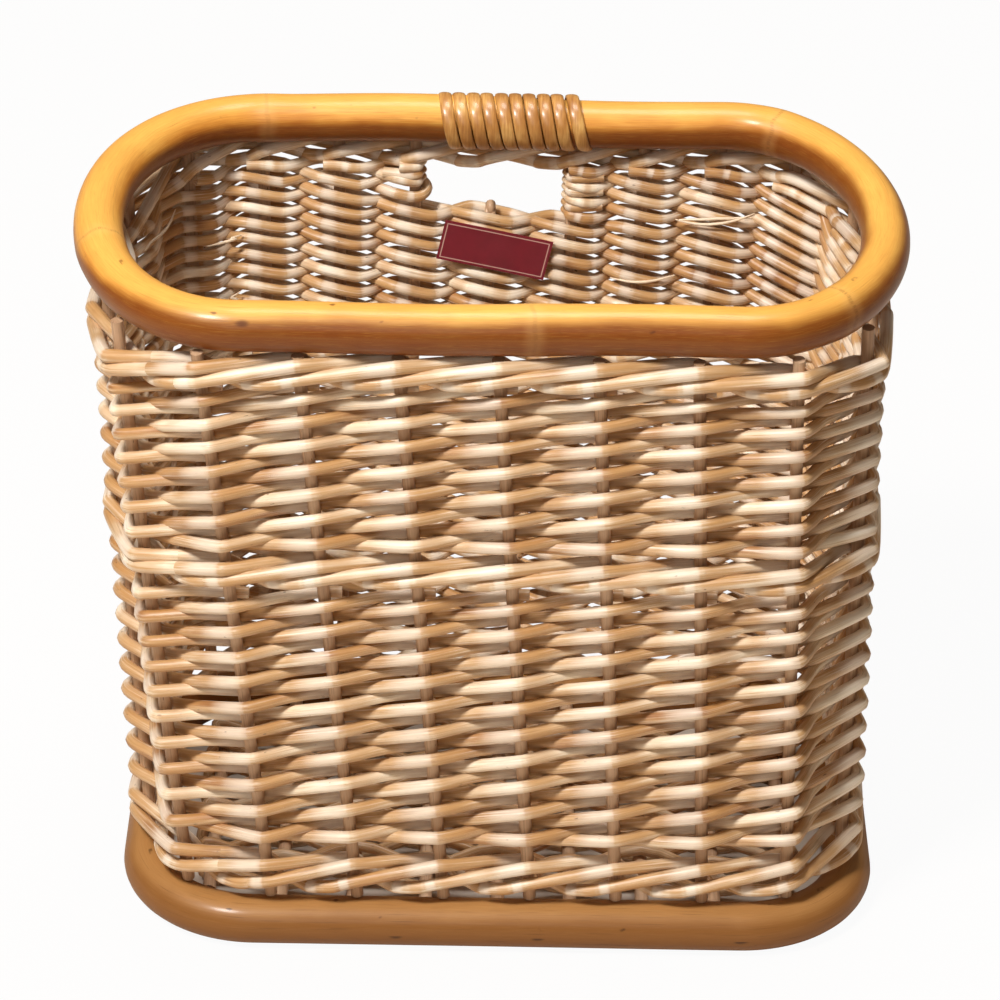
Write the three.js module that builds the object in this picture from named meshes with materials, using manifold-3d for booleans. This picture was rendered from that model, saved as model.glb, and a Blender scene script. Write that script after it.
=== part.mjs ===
// Magazine basket: a wall of willow woven in French randing between two bent rattan hoops.
// Millimetres, +Z up, the front towards -Y, the floor at z = 0.

import * as THREE from 'three';
import Module from 'manifold-3d';

const wasm = await Module();
wasm.setup();

// Rim hoop, over the outside of the pole
const rimLength = 400;
const rimWidth = 224;
const basketHeight = 378;
const rimPoleDiameter = 24;
const rimEndReach = 73;

// Foot hoop, over the outside of the pole
const footLength = 388;
const footWidth = 222;
const footPoleDiameter = 25;
const footCornerReach = 58;
const footCornerDepth = 51;
const footShift = 9;

// Side stakes: where their middles stand from the middles of the two poles, and how they space out
const stakeDiameter = 6;
const rimSideSetOut = 5;
const rimEndSetIn = 6;
const wallCornerReach = 58;
const wallCornerDepth = 58;
const footSideSetIn = 5.5;
const footEndSetIn = 2;
const frontStakes = 7;
const backStakes = 9;
const endStakes = 4;
const frontSpacing = 46;
const backSpacing = 38.5;
const frontMiddleShift = 4;
const wallTwistShift = 13;

// Weaving rods: butts are the thick ends, tips the thin ones
const lowerButtDiameter = 7.3;
const lowerTipDiameter = 5.9;
const upperButtDiameter = 6.2;
const upperTipDiameter = 5;
const waleRodDiameter = 6.4;
const rodPlay = 0.4;
const footWaleRise = 11.5;
const waleRise = 7.2;
const waleFootGap = 10.5;
const waleRimLap = 1.6;
const waleGripDip = 2.2;
const gripDipReach = 30;
const middleWaleBelowTop = 147.5;
const waleToRandingGap = 2.2;
const randingToWaleGap = 7.3;
const randingToTopWaleGap = 3.4;
const footWaleToRandingGap = 8;
const endDip = 18;
const dipStart = 110;
const tipOverhang = 8;

// Hand hole in the back wall, under the grip binding
const handHoleHeight = 31.5;
const cutStakeStandUp = 3;
const floorRodRise = 3;

// Grip binding of split cane round the back of the rim
const gripTurns = 11;
const caneWidth = 6.6;
const caneThickness = 2;
const canePitch = 7;
const lastTurnGap = 2.4;
const gripShift = 11;

// Base: short sticks let in across the foot hoop, and one long weaver
const baseSticks = 9;
const baseStickDiameter = 7;
const baseEndGap = 21;
const baseWeaverDiameter = 6;
const baseRowPitch = 8.5;
const baseEdgeGap = 12;

// Card label on the inside of the back wall
const labelWidth = 56;
const labelHeight = 22.5;
const labelThickness = 0.6;
const labelBelowHole = 14;
const labelShift = 2;
const labelTurn = THREE.MathUtils.degToRad(12);

// Fits
const clearance = 0.3;
const scarfGap = 0.4;
const scarfRun = 40;
const leastShoulderShare = 0.25;
const overrun = 5;

// Facets
const poleSides = 12;
const poleEndSteps = 16;
const rodSides = 4;
const stakeSides = 6;
const wrapSteps = 4;
const rimPlanSteps = 720;

const willow = new THREE.MeshStandardMaterial({ color: 0xdcbd90, roughness: 0.6, metalness: 0 });
const stakeWillow = new THREE.MeshStandardMaterial({ color: 0xb99872, roughness: 0.7, metalness: 0 });
const rimRattan = new THREE.MeshStandardMaterial({ color: 0xdca24a, roughness: 0.35, metalness: 0 });
const footRattan = new THREE.MeshStandardMaterial({ color: 0xb07d3c, roughness: 0.45, metalness: 0 });
const splitCane = new THREE.MeshStandardMaterial({ color: 0xdcae66, roughness: 0.4, metalness: 0 });
const labelCard = new THREE.MeshStandardMaterial({ color: 0x8c1c2c, roughness: 0.5, metalness: 0 });

const basket = new THREE.Group();

function addPiece(name, geometry, material) {
  geometry.computeVertexNormals();
  const mesh = new THREE.Mesh(geometry, material);
  mesh.name = name;
  basket.add(mesh);
  return mesh;
}

// Solids

function toSolid(geometry) {
  return new wasm.Manifold(new wasm.Mesh({
    numProp: 3,
    vertProperties: new Float32Array(geometry.getAttribute('position').array),
    triVerts: new Uint32Array(geometry.getIndex().array),
  }));
}

function toGeometry(solid) {
  const mesh = solid.getMesh();
  const geometry = new THREE.BufferGeometry();
  geometry.setAttribute('position', new THREE.BufferAttribute(new Float32Array(mesh.vertProperties), 3));
  geometry.setIndex(new THREE.BufferAttribute(new Uint32Array(mesh.triVerts), 1));
  return geometry;
}

function fuse(geometries) {
  return toGeometry(geometries.map(toSolid).reduce((whole, piece) => whole.add(piece)));
}

// Regular section with a flat at the bottom, by its size across the flats
function roundSection(sides, diameter) {
  const radius = diameter / 2 / Math.cos(Math.PI / sides);
  return Array.from({ length: sides }, (_, side) => {
    const turn = (side + 0.5) * 2 * Math.PI / sides - Math.PI / 2;
    return new THREE.Vector2(radius * Math.cos(turn), radius * Math.sin(turn));
  });
}

// Loft through stations, each with a middle, the way its top faces and its section
function loft(stations, closed = false) {
  const count = stations.length;
  const sides = stations[0].section.length;
  const positions = [];
  stations.forEach((station, at) => {
    const before = closed ? stations[(at + count - 1) % count] : stations[Math.max(at - 1, 0)];
    const after = closed ? stations[(at + 1) % count] : stations[Math.min(at + 1, count - 1)];
    const along = after.middle.clone().sub(before.middle).normalize();
    const across = station.up.clone().cross(along).normalize();
    const lift = along.clone().cross(across);
    for (const corner of station.section) {
      const point = station.middle.clone()
        .addScaledVector(across, corner.x)
        .addScaledVector(lift, corner.y);
      positions.push(point.x, point.y, point.z);
    }
  });
  const index = [];
  const spans = closed ? count : count - 1;
  for (let span = 0; span < spans; span += 1) {
    const here = span * sides;
    const there = ((span + 1) % count) * sides;
    for (let side = 0; side < sides; side += 1) {
      const next = (side + 1) % sides;
      index.push(here + side, here + next, there + side);
      index.push(here + next, there + next, there + side);
    }
  }
  if (!closed) {
    const last = (count - 1) * sides;
    for (let side = 1; side < sides - 1; side += 1) {
      index.push(0, side + 1, side);
      index.push(last, last + side, last + side + 1);
    }
  }
  const geometry = new THREE.BufferGeometry();
  geometry.setAttribute('position', new THREE.Float32BufferAttribute(positions, 3));
  geometry.setIndex(index);
  return geometry;
}

// A willow rod through points, thinning from its butt to its tip
const skyward = new THREE.Vector3(0, 0, 1);

function rod(points, buttDiameter, tipDiameter) {
  const last = points.length - 1;
  return loft(points.map((middle, at) => {
    const radius = THREE.MathUtils.lerp(buttDiameter, tipDiameter, at / last) / 2;
    const section = Array.from({ length: rodSides }, (_, side) => {
      const turn = side * 2 * Math.PI / rodSides;
      return new THREE.Vector2(radius * Math.cos(turn), radius * Math.sin(turn));
    });
    return { middle, up: skyward, section };
  }));
}

// Plan outline with elliptical corners, walked anticlockwise from the middle of the front
function outline(halfLength, halfWidth, cornerReach, cornerDepth) {
  const straightX = halfLength - cornerReach;
  const straightY = halfWidth - cornerDepth;
  const path = new THREE.Path();
  path.moveTo(0, -halfWidth);
  path.lineTo(straightX, -halfWidth);
  path.absellipse(straightX, -straightY, cornerReach, cornerDepth, -Math.PI / 2, 0, false, 0);
  if (straightY > 0) path.lineTo(halfLength, straightY);
  path.absellipse(straightX, straightY, cornerReach, cornerDepth, 0, Math.PI / 2, false, 0);
  path.lineTo(-straightX, halfWidth);
  path.absellipse(-straightX, straightY, cornerReach, cornerDepth, Math.PI / 2, Math.PI, false, 0);
  if (straightY > 0) path.lineTo(-halfLength, -straightY);
  path.absellipse(-straightX, -straightY, cornerReach, cornerDepth, Math.PI, Math.PI * 3 / 2, false, 0);
  path.lineTo(0, -halfWidth);
  return path;
}

// Hoops: a straight run front and back, a bend at each corner, and one scarf joint at the back

function hoop(halfLength, halfWidth, cornerReach, cornerDepth, middleHeight, shift, diameter) {
  const straightX = halfLength - cornerReach;
  const straightY = halfWidth - cornerDepth;
  const cornerSteps = poleEndSteps / 2;
  const section = roundSection(poleSides, diameter);
  const stations = [];
  [[1, -1], [1, 1], [-1, 1], [-1, -1]].forEach(([sideX, sideY], corner) => {
    const skipFirst = straightY === 0 && sideX * sideY > 0;
    for (let step = skipFirst ? 1 : 0; step <= cornerSteps; step += 1) {
      const turn = (corner - 1 + step / cornerSteps) * Math.PI / 2;
      stations.push({
        middle: new THREE.Vector3(
          shift + sideX * straightX + cornerReach * Math.cos(turn),
          sideY * straightY + cornerDepth * Math.sin(turn),
          middleHeight,
        ),
        up: skyward,
        section,
      });
    }
  });
  return loft(stations, true);
}

// A long slanting cut through the back run of a hoop, where the pole's two ends meet
function cutScarf(geometry, middleX, middleY, middleHeight, diameter) {
  const length = Math.hypot(scarfRun, diameter) + 2 * overrun;
  const saw = new THREE.BoxGeometry(length, diameter + 2 * overrun, scarfGap);
  saw.deleteAttribute('normal');
  saw.deleteAttribute('uv');
  const merged = mergeCorners(saw);
  merged.rotateY(-Math.atan2(diameter, scarfRun));
  merged.translate(middleX, middleY, middleHeight);
  return toGeometry(toSolid(geometry).subtract(toSolid(merged)));
}

// Box corners shared between faces, as a closed solid needs them
function mergeCorners(geometry) {
  const source = geometry.getAttribute('position');
  const found = new Map();
  const positions = [];
  const index = Array.from(geometry.getIndex().array, (corner) => {
    const point = [source.getX(corner), source.getY(corner), source.getZ(corner)];
    const key = point.join(' ');
    if (!found.has(key)) {
      found.set(key, found.size);
      positions.push(...point);
    }
    return found.get(key);
  });
  const merged = new THREE.BufferGeometry();
  merged.setAttribute('position', new THREE.Float32BufferAttribute(positions, 3));
  merged.setIndex(index);
  return merged;
}

const rimHalfLength = (rimLength - rimPoleDiameter) / 2;
const rimHalfWidth = (rimWidth - rimPoleDiameter) / 2;
const rimMiddle = basketHeight - rimPoleDiameter / 2;
const rimUnderside = basketHeight - rimPoleDiameter;
const rimRing = hoop(rimHalfLength, rimHalfWidth, rimEndReach, rimHalfWidth, rimMiddle, 0, rimPoleDiameter);
addPiece('rim_hoop', cutScarf(rimRing, gripShift, rimHalfWidth, rimMiddle, rimPoleDiameter), rimRattan);

const footHalfLength = (footLength - footPoleDiameter) / 2;
const footHalfWidth = (footWidth - footPoleDiameter) / 2;
const footMiddle = footPoleDiameter / 2;
const footRing = hoop(
  footHalfLength, footHalfWidth, footCornerReach, footCornerDepth, footMiddle, footShift, footPoleDiameter,
);
addPiece('foot_hoop', cutScarf(footRing, footShift, footHalfWidth, footMiddle, footPoleDiameter), footRattan);

// Wall: the surface through the middles of the side stakes, from the foot hoop up to the rim

const wallFoot = footPoleDiameter + clearance;
const wallHead = rimUnderside - clearance;
const wallTopHalfLength = rimHalfLength - rimEndSetIn;
const wallTopHalfWidth = rimHalfWidth + rimSideSetOut;
const wallFootHalfLength = footHalfLength - footEndSetIn;
const wallFootHalfWidth = footHalfWidth - footSideSetIn;
const topOutline = outline(wallTopHalfLength, wallTopHalfWidth, wallCornerReach, wallCornerDepth);
const footOutline = outline(wallFootHalfLength, wallFootHalfWidth, footCornerReach, footCornerDepth);
const wallPerimeter = topOutline.getLength();

function wallRise(height) {
  return (height - wallFoot) / (wallHead - wallFoot);
}

function wrapShare(around) {
  return around - Math.floor(around);
}

function wallPoint(around, height) {
  const rise = wallRise(height);
  const low = footOutline.getPointAt(wrapShare(around));
  const high = topOutline.getPointAt(wrapShare(around));
  return new THREE.Vector3(
    THREE.MathUtils.lerp(low.x + footShift, high.x, rise),
    THREE.MathUtils.lerp(low.y, high.y, rise),
    height,
  );
}

function wallOutward(around, height) {
  const rise = wallRise(height);
  const low = footOutline.getTangentAt(wrapShare(around));
  const high = topOutline.getTangentAt(wrapShare(around));
  const along = low.lerp(high, rise).normalize();
  return new THREE.Vector3(along.y, -along.x, 0);
}

// Side stakes, numbered anticlockwise from the left of the front

const stakeCount = frontStakes + backStakes + 2 * endStakes;
const stakeShares = [];
const frontHalfRun = (frontStakes - 1) / 2 * frontSpacing;
const backHalfRun = (backStakes - 1) / 2 * backSpacing;
const frontFirst = (frontMiddleShift - frontHalfRun) / wallPerimeter;
const frontLast = (frontMiddleShift + frontHalfRun) / wallPerimeter;
const backFirst = 0.5 - backHalfRun / wallPerimeter;
const backLast = 0.5 + backHalfRun / wallPerimeter;

function spreadStakes(from, to, count, withEnds) {
  const gaps = withEnds ? count - 1 : count + 1;
  for (let place = 0; place < count; place += 1) {
    stakeShares.push(THREE.MathUtils.lerp(from, to, (place + (withEnds ? 0 : 1)) / gaps));
  }
}
spreadStakes(frontFirst, frontLast, frontStakes, true);
spreadStakes(frontLast, backFirst, endStakes, false);
spreadStakes(backFirst, backLast, backStakes, true);
spreadStakes(backLast, 1 + frontFirst, endStakes, false);

const cutStake = frontStakes + endStakes + (backStakes - 1) / 2;

function wrapStake(stake) {
  return (stake % stakeCount + stakeCount) % stakeCount;
}

function stakeAround(stake, height) {
  return stakeShares[wrapStake(stake)] + wallTwistShift / wallPerimeter * (1 - wallRise(height));
}

function stakePoint(stake, height) {
  return wallPoint(stakeAround(stake, height), height);
}

function stakeOutward(stake, height) {
  return wallOutward(stakeAround(stake, height), height);
}

// The weave sinks towards the two ends, where it beats down closer
const stakeDips = stakeShares.map((around) => {
  const reach = Math.abs(topOutline.getPointAt(wrapShare(around)).x) - dipStart;
  return endDip * Math.max(0, reach / (wallTopHalfLength - dipStart)) ** 2;
});

function sunkHeight(stake, height) {
  return height - stakeDips[wrapStake(stake)] * wallRise(height);
}

// How far a rod's middle stands off each stake, so that its slanting runs beside the stake clear it
const standOffShares = [0, 0.25, 0.5, 0.75, 1];
const standOffPasses = 8;

function standOffsAt(rodDiameter, height) {
  const reach = (stakeDiameter / Math.cos(Math.PI / stakeSides) + rodDiameter) / 2 + clearance;
  const plans = stakeShares.map((_, stake) => stakePoint(stake, height));
  const outwards = stakeShares.map((_, stake) => stakeOutward(stake, height));
  const offs = { 1: stakeShares.map(() => reach), '-1': stakeShares.map(() => reach) };
  for (let pass = 0; pass < standOffPasses; pass += 1) {
    for (const side of [1, -1]) {
      for (let stake = 0; stake < stakeCount; stake += 1) {
        const here = plans[stake].clone().addScaledVector(outwards[stake], side * offs[side][stake]);
        const nearest = Math.min(...[-1, 1].map((step) => {
          const next = wrapStake(stake + step);
          const there = plans[next].clone().addScaledVector(outwards[next], -side * offs[-side][next]);
          const run = there.sub(here).normalize();
          return plans[stake].clone().sub(here).cross(run).length();
        }));
        offs[side][stake] *= reach / nearest;
      }
    }
  }
  return offs;
}

function standOffs(rodDiameter) {
  const found = standOffShares.map((share) => (
    standOffsAt(rodDiameter, THREE.MathUtils.lerp(wallFoot, wallHead, share))
  ));
  const most = (side) => stakeShares.map((_, stake) => Math.max(...found.map((offs) => offs[side][stake])));
  return { 1: most(1), 0: stakeShares.map(() => 0), '-1': most(-1) };
}

// A rod's middle where it crosses a stake, outside (+1) or inside (-1)
function crossing(stake, side, height, off) {
  const sunk = sunkHeight(stake, height);
  return stakePoint(stake, sunk).addScaledVector(stakeOutward(stake, sunk), side * off[side][wrapStake(stake)]);
}

// Wales: three rods worked together, each in front of two stakes and behind the third

const waleRods = 3;
const bottomWaleHeight = wallFoot + waleFootGap + waleRodDiameter / 2;
const middleWaleHeight = basketHeight - middleWaleBelowTop;
const topWaleHeight = wallHead + waleRimLap - waleRodDiameter / 2 - waleRise;
const waleOffs = standOffs(waleRodDiameter + 3 * clearance);

// Coming forward from behind its stake, a rod ducks under the other two, as shares of the run and rise
const duckRunShares = [0.3, 0.6];
const duckDropShares = [0.5, 0.4];
const duckSides = [0, 1];

const gripLength = gripTurns * canePitch + lastTurnGap;
const gripStart = gripShift - gripLength / 2;
const gripEnd = gripShift + gripLength / 2;

// The top wale lies lower under the grip binding, which is thicker than the bare rim
function gripDip(stake) {
  const head = stakePoint(stake, wallHead);
  const nearGrip = head.y > 0 && head.x > gripStart - gripDipReach && head.x < gripEnd + gripDipReach;
  return nearGrip ? waleGripDip : 0;
}

function waleRod(lowHeight, rise, phase, dipAt) {
  const heights = [lowHeight, lowHeight + rise, lowHeight + rise / 2];
  const sides = [1, 1, -1];
  const section = Array.from({ length: rodSides }, (_, side) => {
    const turn = side * 2 * Math.PI / rodSides;
    return new THREE.Vector2(Math.cos(turn), Math.sin(turn)).multiplyScalar(waleRodDiameter / 2);
  });
  const middles = [];
  for (let stake = 0; stake < stakeCount; stake += 1) {
    const turn = (stake + phase) % sides.length;
    middles.push(crossing(stake, sides[turn], heights[turn] - dipAt(stake), waleOffs));
    if (sides[turn] < 0) {
      duckRunShares.forEach((run, at) => {
        const low = lowHeight - rise * duckDropShares[at];
        const here = crossing(stake, duckSides[at], low - dipAt(stake), waleOffs);
        const there = crossing(stake + 1, duckSides[at], low - dipAt(stake + 1), waleOffs);
        middles.push(here.lerp(there, run));
      });
    }
  }
  return loft(middles.map((middle) => ({ middle, up: skyward, section })), true);
}

[
  ['bottom_wale', bottomWaleHeight, footWaleRise, () => 0],
  ['middle_wale', middleWaleHeight, waleRise, () => 0],
  ['top_wale', topWaleHeight, waleRise, gripDip],
].forEach(([name, height, rise, dipAt]) => {
  for (let phase = 0; phase < waleRods; phase += 1) {
    addPiece(`${name}_rod_${phase + 1}`, waleRod(height, rise, phase, dipAt), willow);
  }
});

// French randing: one rod starts at every stake, goes in front of one stake and behind the next,
// and climbs half a row at each, so that all the rods climb together.
// A row that lacks no more than the beaten share of its height is beaten down to fit.
// A rod goes in at the height at which it came round the stake before, and climbs on its way out.
const beatenShare = 0.1;
const insideDropShare = 1;

function randing(floor, ceiling, buttDiameter, tipDiameter) {
  const middleDiameter = (buttDiameter + tipDiameter) / 2;
  const bottom = floor + buttDiameter / 2;
  const top = ceiling - tipDiameter / 2;
  const squeezeShare = 1 - endDip / (wallHead - wallFoot);
  const pairs = (top - bottom) * squeezeShare / (middleDiameter + rodPlay) / 2;
  const steps = 2 * Math.floor(pairs + beatenShare);
  const taperShare = (buttDiameter - tipDiameter) / (buttDiameter + tipDiameter);
  const buttOffs = standOffs(buttDiameter);
  const tipOffs = standOffs(tipDiameter);
  const levelHeight = (level) => {
    const share = level / steps;
    return bottom + (top - bottom) * share * (1 + taperShare * (1 - share));
  };
  const levelSide = (level) => (level % 2 === 0 ? -1 : 1);
  const levelDiameter = (level) => THREE.MathUtils.lerp(buttDiameter, tipDiameter, level / steps);
  const rodHeight = (level) => {
    const dropShare = level > 0 && levelSide(level) < 0 ? insideDropShare : 0;
    return THREE.MathUtils.lerp(levelHeight(level), levelHeight(level - 1), dropShare);
  };
  const point = (stake, level) => {
    const side = levelSide(level);
    const butt = crossing(stake, side, rodHeight(level), buttOffs);
    const tip = crossing(stake, side, rodHeight(level), tipOffs);
    return butt.lerp(tip, level / steps);
  };
  return { steps, rodHeight, levelSide, levelDiameter, point };
}

const waleHalf = waleRodDiameter / 2;
const lowerBlock = randing(
  bottomWaleHeight + footWaleRise / 2 + waleHalf + footWaleToRandingGap,
  middleWaleHeight + waleRise / 2 - waleHalf - randingToWaleGap,
  lowerButtDiameter,
  lowerTipDiameter,
);
const upperBlock = randing(
  middleWaleHeight + waleRise / 2 + waleHalf + waleToRandingGap,
  topWaleHeight + waleRise / 2 - waleHalf - randingToTopWaleGap,
  upperButtDiameter,
  upperTipDiameter,
);

// Where a rod's butt leans on the rod before it, as a share of the way between two stakes
const buttRestShare = 0.3;

// Points of one rod from its butt, past the stakes it crosses, to its tip
function randRodPoints(block, startStake, lastLevel) {
  const points = [block.point(startStake - 1, 0).lerp(block.point(startStake, 1), buttRestShare)];
  for (let level = 0; level <= lastLevel; level += 1) {
    points.push(block.point(startStake + level, level));
  }
  return points;
}

function addTip(points, stake, height) {
  const last = points[points.length - 1];
  const outward = stakeOutward(stake, height);
  const along = new THREE.Vector3(-outward.y, outward.x, 0);
  points.push(last.clone().addScaledVector(along, tipOverhang));
}

// A bend half round a stake, from one side of the wall to the other, on the side where way points
function turnRound(block, stake, fromLevel, toLevel, way) {
  const from = block.point(stake, fromLevel);
  const to = block.point(stake, toLevel);
  const height = (from.z + to.z) / 2;
  const middle = stakePoint(stake, height);
  const outward = stakeOutward(stake, height);
  const along = new THREE.Vector3(-outward.y, outward.x, 0).multiplyScalar(way);
  const side = block.levelSide(fromLevel);
  const reach = ((stakeDiameter + block.levelDiameter(fromLevel)) / 2 + clearance) / Math.cos(Math.PI / wrapSteps / 2);
  const points = [];
  for (let step = 1; step < wrapSteps; step += 1) {
    const turn = step * Math.PI / wrapSteps;
    const point = middle.clone()
      .addScaledVector(outward, side * reach * Math.cos(turn))
      .addScaledVector(along, reach * Math.sin(turn));
    point.z = THREE.MathUtils.lerp(from.z, to.z, step / wrapSteps);
    points.push(point);
  }
  return points;
}

const lowerRods = Array.from({ length: stakeCount }, (_, stake) => {
  const points = randRodPoints(lowerBlock, stake, lowerBlock.steps);
  addTip(points, stake + lowerBlock.steps, lowerBlock.rodHeight(lowerBlock.steps));
  return rod(points, lowerButtDiameter, lowerTipDiameter);
});
addPiece('lower_randing', fuse(lowerRods), willow);

// Upper randing: the rods that would cross the hand hole turn back round the stakes at its sides,
// and the rod right under the hole stays low as far as the next stake

const handHoleFloor = topWaleHeight - waleHalf - handHoleHeight;
const clearLevel = Array.from({ length: upperBlock.steps + 1 }, (_, level) => level)
  .find((level) => upperBlock.rodHeight(level) - upperBlock.levelDiameter(level) / 2 > handHoleFloor);
const floorRodHeight = upperBlock.rodHeight(clearLevel - 1) + floorRodRise;
const upperRods = [];
const lowSide = cutStake - 1;
const highSide = cutStake + 1;

for (let stake = 0; stake < stakeCount; stake += 1) {
  const levelAtHole = wrapStake(cutStake - stake);
  const meetsHole = levelAtHole >= clearLevel && levelAtHole <= upperBlock.steps;
  if (!meetsHole) {
    const points = randRodPoints(upperBlock, stake, upperBlock.steps);
    const underHole = levelAtHole === clearLevel - 1;
    if (underHole) points[clearLevel + 1].z = floorRodHeight;
    addTip(points, stake + upperBlock.steps, upperBlock.rodHeight(upperBlock.steps));
    upperRods.push(rod(points, upperButtDiameter, upperTipDiameter));
  }
}

// Rods that come up to the hole pair off round the stake at its near side
for (let level = clearLevel; level <= upperBlock.steps; level += 2) {
  const going = randRodPoints(upperBlock, cutStake - level, level - 1);
  const hasPartner = level + 1 <= upperBlock.steps;
  const bend = hasPartner ? turnRound(upperBlock, lowSide, level - 1, level, 1) : [];
  const coming = hasPartner ? randRodPoints(upperBlock, cutStake - level - 1, level).reverse() : [];
  const points = [...going, ...bend, ...coming];
  const diameter = upperBlock.levelDiameter(level / 2);
  upperRods.push(rod(points, diameter, diameter));
}
addPiece('upper_randing', fuse(upperRods), willow);

// On the far side of the hole short rods turn back round the stake and climb on both ways
function handholdRod(lowLevel) {
  const highLevel = lowLevel + 1;
  const coming = [];
  for (let level = upperBlock.steps; level >= lowLevel; level -= 1) {
    coming.push(upperBlock.point(highSide + level - lowLevel, level));
  }
  const going = [];
  for (let level = highLevel; level <= upperBlock.steps; level += 1) {
    going.push(upperBlock.point(highSide + level - highLevel, level));
  }
  if (going.length < 2) addTip(going, highSide, going[0].z);
  const bend = turnRound(upperBlock, highSide, lowLevel, highLevel, -1);
  const diameter = upperBlock.levelDiameter(upperBlock.steps / 2);
  return rod([...coming, ...bend, ...going], upperTipDiameter, diameter);
}

let handholdRods = 0;
for (let lowLevel = clearLevel + 1; lowLevel < upperBlock.steps; lowLevel += 2) {
  handholdRods += 1;
  addPiece(`handhold_rod_${handholdRods}`, handholdRod(lowLevel), willow);
}

// Side stakes from the foot hoop to the rim; one is cut short under the hand hole

const stakeSection = roundSection(stakeSides, stakeDiameter);
const rimPlan = outline(rimHalfLength, rimHalfWidth, rimEndReach, rimHalfWidth).getSpacedPoints(rimPlanSteps);
const footPlan = outline(footHalfLength, footHalfWidth, footCornerReach, footCornerDepth)
  .getSpacedPoints(rimPlanSteps);

// How far up or down the side of a pole a stake's end reaches, where it stands off the pole's middle
function shoulder(plan, x, y, poleRadius) {
  const away = Math.min(...plan.map((spot) => Math.hypot(spot.x - x, spot.y - y)));
  const reach = (poleRadius + clearance) / Math.cos(Math.PI / poleSides);
  const nearSide = Math.max(0, away - stakeDiameter / 2 / Math.cos(Math.PI / stakeSides));
  return Math.max(Math.sqrt(Math.max(0, reach ** 2 - nearSide ** 2)), poleRadius * leastShoulderShare);
}
const gripRadius = (rimPoleDiameter / 2 + clearance + caneThickness) / Math.cos(Math.PI / poleSides);

for (let stake = 0; stake < stakeCount; stake += 1) {
  const footEnd = stakePoint(stake, wallFoot);
  const rimEnd = stakePoint(stake, wallHead);
  const footHeight = footMiddle + shoulder(footPlan, footEnd.x - footShift, footEnd.y, footPoleDiameter / 2);
  const rimHeight = rimMiddle - shoulder(rimPlan, rimEnd.x, rimEnd.y, rimPoleDiameter / 2);
  const foot = stakePoint(stake, footHeight);
  const underGrip = stakePoint(stake, wallHead).y > 0
    && stakePoint(stake, wallHead).x > gripStart - stakeDiameter
    && stakePoint(stake, wallHead).x < gripEnd + stakeDiameter;
  const freeHead = underGrip ? rimMiddle - gripRadius - clearance : rimHeight;
  const head = stakePoint(stake, stake === cutStake ? handHoleFloor + cutStakeStandUp : freeHead);
  const stations = [foot, head].map((middle) => ({
    middle,
    up: stakeOutward(stake, middle.z),
    section: stakeSection,
  }));
  const number = String(stake + 1).padStart(2, '0');
  addPiece(stake === cutStake ? 'cut_stake' : `side_stake_${number}`, loft(stations), stakeWillow);
}

// Grip binding: split cane wound side by side, its last turn a little apart

const caneSection = [
  new THREE.Vector2(-caneWidth / 2, 0),
  new THREE.Vector2(caneWidth / 2, 0),
  new THREE.Vector2(caneWidth / 4, caneThickness),
  new THREE.Vector2(-caneWidth / 4, caneThickness),
];
const caneInner = (rimPoleDiameter / 2 + clearance) / Math.cos(Math.PI / poleSides);
const gripStations = [];
for (let step = 0; step <= gripTurns * poleSides - poleSides; step += 1) {
  const turns = step / poleSides;
  const turn = (step + 0.5) * 2 * Math.PI / poleSides;
  const lastGap = lastTurnGap * Math.min(1, Math.max(0, turns - (gripTurns - 2)));
  const out = new THREE.Vector3(0, Math.cos(turn), Math.sin(turn));
  gripStations.push({
    middle: new THREE.Vector3(gripStart + caneWidth / 2 + turns * canePitch + lastGap, rimHalfWidth, rimMiddle)
      .addScaledVector(out, caneInner),
    up: out,
    section: caneSection,
  });
}
addPiece('grip_binding', loft(gripStations), splitCane);

// Base: sticks across the foot hoop, and one weaver that turns back round the end sticks

const innerHalfWidth = footHalfWidth - footPoleDiameter / 2;
const innerHalfLength = footHalfLength - footPoleDiameter / 2;
const innerReach = footCornerReach - footPoleDiameter / 2;
const innerDepth = footCornerDepth - footPoleDiameter / 2;
const baseStickSection = roundSection(stakeSides, baseStickDiameter);
const baseHalfRun = innerHalfLength - baseEndGap;
const baseStickSpacing = 2 * baseHalfRun / (baseSticks - 1);

for (let stick = 0; stick < baseSticks; stick += 1) {
  const x = stick * baseStickSpacing - baseHalfRun;
  const intoCorner = Math.max(0, Math.abs(x) + baseStickDiameter / 2 - (innerHalfLength - innerReach)) / innerReach;
  const halfStick = innerHalfWidth - innerDepth + innerDepth * Math.sqrt(1 - intoCorner ** 2)
    - clearance * (intoCorner > 0 ? 3 : 1);
  const stations = [-halfStick, halfStick].map((y) => ({
    middle: new THREE.Vector3(footShift + x, y, footMiddle),
    up: skyward,
    section: baseStickSection,
  }));
  addPiece(`base_stick_${stick + 1}`, loft(stations), stakeWillow);
}

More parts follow.
